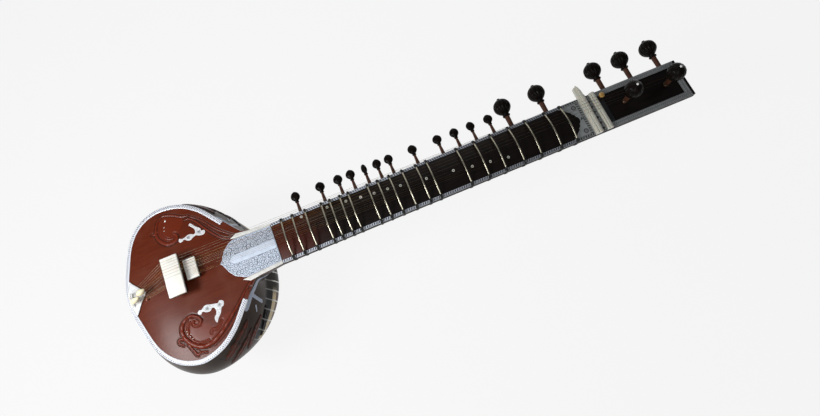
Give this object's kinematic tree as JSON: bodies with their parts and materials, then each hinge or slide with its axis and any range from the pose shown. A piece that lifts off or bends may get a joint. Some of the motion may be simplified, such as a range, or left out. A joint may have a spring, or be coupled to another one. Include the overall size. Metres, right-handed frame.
{
  "type": "sitar",
  "caption": "Long-necked plucked lute with gourd bowl, carved soundboard, arched movable frets, sympathetic strings and friction pegs.",
  "frame": {"origin": "the lowest point of the gourd, where it is held", "axes": "+X along the neck to the peghead, +Y to the side pegs, +Z out of the face"},
  "size_m": [1.2398, 0.3578, 0.32],
  "materials": {
    "soundboard_wood": "glossy red-brown lacquer",
    "lacquered_gourd": "glossy dark lacquer over gourd and carved wood",
    "dark_wood": "glossy black-brown lacquer",
    "fingerboard_wood": "glossy red-brown to black wood",
    "plain_wood": "plain wood",
    "peg_wood": "satin black turned wood",
    "bone": "polished bone",
    "inlay": "engraved white inlay sheet",
    "amber": "polished yellow bone",
    "fret_metal": "polished pale brass",
    "steel_wire": "bright steel and bronze wire"
  },
  "bodies": {
    "instrument": {"tumba": "lacquered_gourd", "tabli": "soundboard_wood", "gulu": "lacquered_gourd", "dandi": "dark_wood", "neck_block": "plain_wood", "fingerboard": "fingerboard_wood", "face_inlay": "inlay", "peghead_panel": "fingerboard_wood", "joint_plate": "inlay", "main_bridge_top": "bone", "main_bridge_feet": "plain_wood", "taraf_bridge": "bone", "nut": "bone", "string_guide": "bone", "tail_hitch": "inlay", "tabli_binding": "inlay", "main_strings": "steel_wire", "sympathetic_strings": "steel_wire"},
    "taraf_peg_01": {"taraf_peg_01": "peg_wood"},
    "taraf_peg_02": {"taraf_peg_02": "peg_wood"},
    "taraf_peg_03": {"taraf_peg_03": "peg_wood"},
    "taraf_peg_04": {"taraf_peg_04": "peg_wood"},
    "taraf_peg_05": {"taraf_peg_05": "peg_wood"},
    "taraf_peg_06": {"taraf_peg_06": "peg_wood"},
    "taraf_peg_07": {"taraf_peg_07": "peg_wood"},
    "taraf_peg_08": {"taraf_peg_08": "peg_wood"},
    "taraf_peg_09": {"taraf_peg_09": "peg_wood"},
    "taraf_peg_10": {"taraf_peg_10": "peg_wood"},
    "taraf_peg_11": {"taraf_peg_11": "peg_wood"},
    "taraf_peg_12": {"taraf_peg_12": "peg_wood"},
    "chikari_peg_01": {"chikari_peg_01": "peg_wood"},
    "chikari_peg_02": {"chikari_peg_02": "peg_wood"},
    "side_peg_01": {"side_peg_01": "peg_wood"},
    "side_peg_02": {"side_peg_02": "peg_wood"},
    "side_peg_03": {"side_peg_03": "peg_wood"},
    "front_peg_01": {"front_peg_01": "peg_wood"},
    "front_peg_02": {"front_peg_02": "peg_wood"},
    "fret_01": {"fret_01": "fret_metal"},
    "fret_02": {"fret_02": "fret_metal"},
    "fret_03": {"fret_03": "fret_metal"},
    "fret_04": {"fret_04": "fret_metal"},
    "fret_05": {"fret_05": "fret_metal"},
    "fret_06": {"fret_06": "fret_metal"},
    "fret_07": {"fret_07": "fret_metal"},
    "fret_08": {"fret_08": "fret_metal"},
    "fret_09": {"fret_09": "fret_metal"},
    "fret_10": {"fret_10": "fret_metal"},
    "fret_11": {"fret_11": "fret_metal"},
    "fret_12": {"fret_12": "fret_metal"},
    "fret_13": {"fret_13": "fret_metal"},
    "fret_14": {"fret_14": "fret_metal"},
    "fret_15": {"fret_15": "fret_metal"},
    "fret_16": {"fret_16": "fret_metal"},
    "fret_17": {"fret_17": "fret_metal"},
    "fret_18": {"fret_18": "fret_metal"},
    "fret_19": {"fret_19": "fret_metal"},
    "fret_20": {"fret_20": "fret_metal"},
    "tuning_bead_01": {"tuning_bead_01": "amber"},
    "tuning_bead_02": {"tuning_bead_02": "amber"},
    "peghead_bead": {"peghead_bead": "amber"}
  },
  "joints": [
    {"name": "taraf_peg_01_turn", "type": "hinge", "parent": "instrument", "child": "taraf_peg_01", "pos_m": [0.2679, 0.0582, 0.2316], "axis": [0, 1, 0], "continuous": true},
    {"name": "taraf_peg_02_turn", "type": "hinge", "parent": "instrument", "child": "taraf_peg_02", "pos_m": [0.3226, 0.0582, 0.2316], "axis": [0, 1, 0], "continuous": true},
    {"name": "taraf_peg_03_turn", "type": "hinge", "parent": "instrument", "child": "taraf_peg_03", "pos_m": [0.3621, 0.0582, 0.2316], "axis": [0, 1, 0], "continuous": true},
    {"name": "taraf_peg_04_turn", "type": "hinge", "parent": "instrument", "child": "taraf_peg_04", "pos_m": [0.3901, 0.0582, 0.2316], "axis": [0, 1, 0], "continuous": true},
    {"name": "taraf_peg_05_turn", "type": "hinge", "parent": "instrument", "child": "taraf_peg_05", "pos_m": [0.421, 0.0582, 0.2316], "axis": [0, 1, 0], "continuous": true},
    {"name": "taraf_peg_06_turn", "type": "hinge", "parent": "instrument", "child": "taraf_peg_06", "pos_m": [0.4493, 0.0582, 0.2316], "axis": [0, 1, 0], "continuous": true},
    {"name": "taraf_peg_07_turn", "type": "hinge", "parent": "instrument", "child": "taraf_peg_07", "pos_m": [0.476, 0.0582, 0.2316], "axis": [0, 1, 0], "continuous": true},
    {"name": "taraf_peg_08_turn", "type": "hinge", "parent": "instrument", "child": "taraf_peg_08", "pos_m": [0.5303, 0.0582, 0.2316], "axis": [0, 1, 0], "continuous": true},
    {"name": "taraf_peg_09_turn", "type": "hinge", "parent": "instrument", "child": "taraf_peg_09", "pos_m": [0.5874, 0.0582, 0.2316], "axis": [0, 1, 0], "continuous": true},
    {"name": "taraf_peg_10_turn", "type": "hinge", "parent": "instrument", "child": "taraf_peg_10", "pos_m": [0.6263, 0.0582, 0.2316], "axis": [0, 1, 0], "continuous": true},
    {"name": "taraf_peg_11_turn", "type": "hinge", "parent": "instrument", "child": "taraf_peg_11", "pos_m": [0.6643, 0.0582, 0.2316], "axis": [0, 1, 0], "continuous": true},
    {"name": "taraf_peg_12_turn", "type": "hinge", "parent": "instrument", "child": "taraf_peg_12", "pos_m": [0.7052, 0.0582, 0.2316], "axis": [0, 1, 0], "continuous": true},
    {"name": "chikari_peg_01_turn", "type": "hinge", "parent": "instrument", "child": "chikari_peg_01", "pos_m": [0.7451, 0.0582, 0.2316], "axis": [0, 1, 0], "continuous": true},
    {"name": "chikari_peg_02_turn", "type": "hinge", "parent": "instrument", "child": "chikari_peg_02", "pos_m": [0.8261, 0.0582, 0.2316], "axis": [0, 1, 0], "continuous": true},
    {"name": "side_peg_01_turn", "type": "hinge", "parent": "instrument", "child": "side_peg_01", "pos_m": [0.9611, 0.0582, 0.2316], "axis": [0, 1, 0], "continuous": true},
    {"name": "side_peg_02_turn", "type": "hinge", "parent": "instrument", "child": "side_peg_02", "pos_m": [1.0275, 0.0582, 0.2316], "axis": [0, 1, 0], "continuous": true},
    {"name": "side_peg_03_turn", "type": "hinge", "parent": "instrument", "child": "side_peg_03", "pos_m": [1.0968, 0.0582, 0.2316], "axis": [0, 1, 0], "continuous": true},
    {"name": "front_peg_01_turn", "type": "hinge", "parent": "instrument", "child": "front_peg_01", "pos_m": [0.9784, -0.0018, 0.27], "axis": [0, 0, 1], "continuous": true},
    {"name": "front_peg_02_turn", "type": "hinge", "parent": "instrument", "child": "front_peg_02", "pos_m": [1.0749, -0.0018, 0.27], "axis": [0, 0, 1], "continuous": true},
    {"name": "fret_01_slide", "type": "slide", "parent": "instrument", "child": "fret_01", "axis": [1, 0, 0], "range_m": [-0.01, 0.0035]},
    {"name": "fret_02_slide", "type": "slide", "parent": "instrument", "child": "fret_02", "axis": [1, 0, 0], "range_m": [-0.01, 0.0098]},
    {"name": "fret_03_slide", "type": "slide", "parent": "instrument", "child": "fret_03", "axis": [1, 0, 0], "range_m": [-0.01, 0.01]},
    {"name": "fret_04_slide", "type": "slide", "parent": "instrument", "child": "fret_04", "axis": [1, 0, 0], "range_m": [-0.01, 0.01]},
    {"name": "fret_05_slide", "type": "slide", "parent": "instrument", "child": "fret_05", "axis": [1, 0, 0], "range_m": [-0.01, 0.01]},
    {"name": "fret_06_slide", "type": "slide", "parent": "instrument", "child": "fret_06", "axis": [1, 0, 0], "range_m": [-0.01, 0.0091]},
    {"name": "fret_07_slide", "type": "slide", "parent": "instrument", "child": "fret_07", "axis": [1, 0, 0], "range_m": [-0.01, 0.01]},
    {"name": "fret_08_slide", "type": "slide", "parent": "instrument", "child": "fret_08", "axis": [1, 0, 0], "range_m": [-0.006, 0.01]},
    {"name": "fret_09_slide", "type": "slide", "parent": "instrument", "child": "fret_09", "axis": [1, 0, 0], "range_m": [-0.0096, 0.0044]},
    {"name": "fret_10_slide", "type": "slide", "parent": "instrument", "child": "fret_10", "axis": [1, 0, 0], "range_m": [-0.0071, 0.0096]},
    {"name": "fret_11_slide", "type": "slide", "parent": "instrument", "child": "fret_11", "axis": [1, 0, 0], "range_m": [-0.0054, 0.0085]},
    {"name": "fret_12_slide", "type": "slide", "parent": "instrument", "child": "fret_12", "axis": [1, 0, 0], "range_m": [-0.0064, 0.0073]},
    {"name": "fret_13_slide", "type": "slide", "parent": "instrument", "child": "fret_13", "axis": [1, 0, 0], "range_m": [-0.01, 0.0014]},
    {"name": "fret_14_slide", "type": "slide", "parent": "instrument", "child": "fret_14", "axis": [1, 0, 0], "range_m": [-0.0032, 0.01]},
    {"name": "fret_15_slide", "type": "slide", "parent": "instrument", "child": "fret_15", "axis": [1, 0, 0], "range_m": [-0.006, 0.0022]},
    {"name": "fret_16_slide", "type": "slide", "parent": "instrument", "child": "fret_16", "axis": [1, 0, 0], "range_m": [-0.003, 0.006]},
    {"name": "fret_17_slide", "type": "slide", "parent": "instrument", "child": "fret_17", "axis": [1, 0, 0], "range_m": [-0.01, 0.0026]},
    {"name": "fret_18_slide", "type": "slide", "parent": "instrument", "child": "fret_18", "axis": [1, 0, 0], "range_m": [-0.0043, 0.01]},
    {"name": "fret_19_slide", "type": "slide", "parent": "instrument", "child": "fret_19", "axis": [1, 0, 0], "range_m": [-0.0069, 0.0084]},
    {"name": "fret_20_slide", "type": "slide", "parent": "instrument", "child": "fret_20", "axis": [1, 0, 0], "range_m": [-0.009, 0.0069]},
    {"name": "tuning_bead_01_slide", "type": "slide", "parent": "instrument", "child": "tuning_bead_01", "axis": [0.916, 0.2235, 0.3331], "range_m": [-0.0005, 0.004]},
    {"name": "tuning_bead_02_slide", "type": "slide", "parent": "instrument", "child": "tuning_bead_02", "axis": [0.9203, 0.2027, 0.3347], "range_m": [-0.0015, 0.0005]},
    {"name": "peghead_bead_slide", "type": "slide", "parent": "instrument", "child": "peghead_bead", "axis": [0.9621, -0.0415, -0.2696], "range_m": [-0.001, 0.004]}
  ]
}
